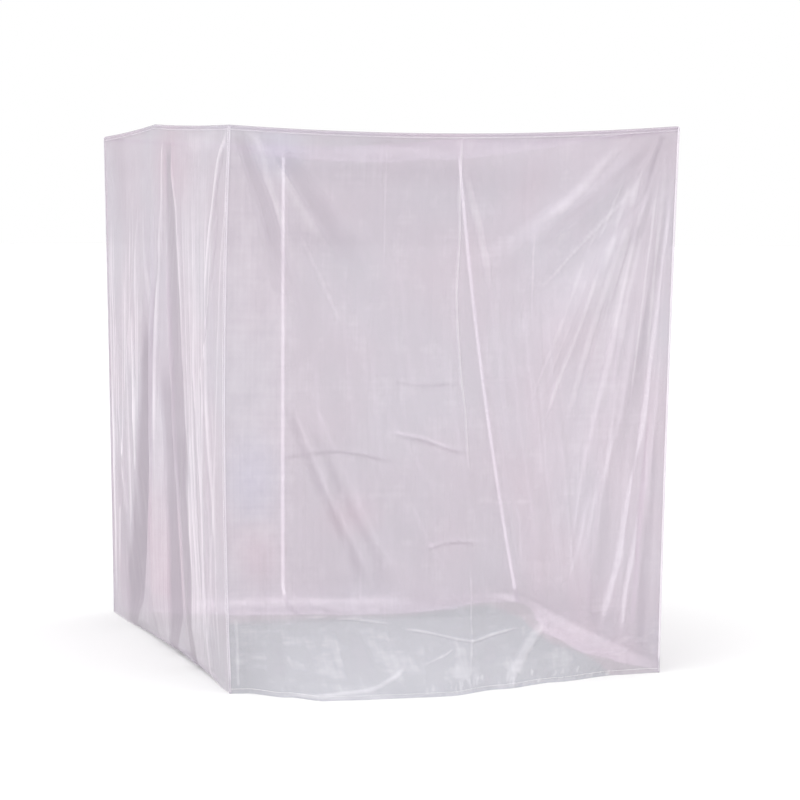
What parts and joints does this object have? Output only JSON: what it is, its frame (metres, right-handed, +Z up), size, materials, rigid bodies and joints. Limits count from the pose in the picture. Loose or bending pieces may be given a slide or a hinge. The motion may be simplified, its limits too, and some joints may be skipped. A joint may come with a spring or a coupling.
{
  "type": "mosquito net canopy",
  "caption": "Rectangular mosquito net canopy of sheer pinkish net: sagging roof, straight walls falling to the floor in soft folds, open underneath, hung by its top corners.",
  "frame": {"origin": "on the floor under the middle of the hung net's whole outline, foot included", "axes": "+Z up; the short front wall faces -Y; the long wall with the tie in its middle faces -X"},
  "size_m": [1.6267, 2.1553, 1.8326],
  "materials": {
    "net": "fine sheer knitted polyester net",
    "binding": "folded and stitched net tape"
  },
  "bodies": {
    "root": {"roof": "net", "front_wall": "net", "right_wall": "net", "left_wall": "net", "back_wall_narrow": "net", "back_wall_wide": "net", "top_binding": "binding"}
  },
  "joints": []
}
